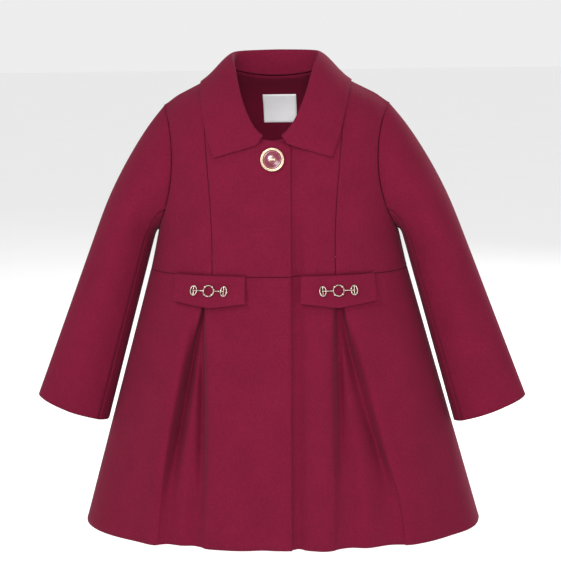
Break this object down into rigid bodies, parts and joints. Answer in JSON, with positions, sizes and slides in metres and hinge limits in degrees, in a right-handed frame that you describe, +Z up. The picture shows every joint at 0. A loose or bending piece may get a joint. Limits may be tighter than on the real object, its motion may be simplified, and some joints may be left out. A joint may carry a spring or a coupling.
{
  "type": "child's wool coat",
  "caption": "Short flared child's coat in wool cloth, filled out as worn, with a flat collar, pocket flaps, skirt pleats and a neck button.",
  "frame": {"origin": "middle of the shoulder line, at the height where the shoulders meet the collar: where a wearer holds the coat up", "axes": "+X to the wearer's left, +Y to the wearer's back, +Z up; the front faces -Y"},
  "size_m": [0.5802, 0.2576, 0.5577],
  "materials": {
    "wool": "matte wool cloth with a short nap, deep raspberry red",
    "metal_trim": "antique silver, slightly darkened in the hollows",
    "button_face": "glossy raspberry red",
    "button_metal": "pale champagne metal",
    "label_cloth": "white woven satin ribbon"
  },
  "bodies": {
    "root": {"bodice_front_centre_R": "wool", "bodice_front_centre_L": "wool", "bodice_front_side_R": "wool", "bodice_front_side_L": "wool", "bodice_back": "wool", "skirt_front_R": "wool", "skirt_front_L": "wool", "skirt_back": "wool", "sleeve_upper_R": "wool", "sleeve_under_R": "wool", "sleeve_upper_L": "wool", "sleeve_under_L": "wool", "collar": "wool", "flap_R": "wool", "flap_L": "wool", "trim_R": "metal_trim", "trim_L": "metal_trim", "button": "button_face", "button_rim": "button_metal", "label": "label_cloth"}
  },
  "joints": []
}
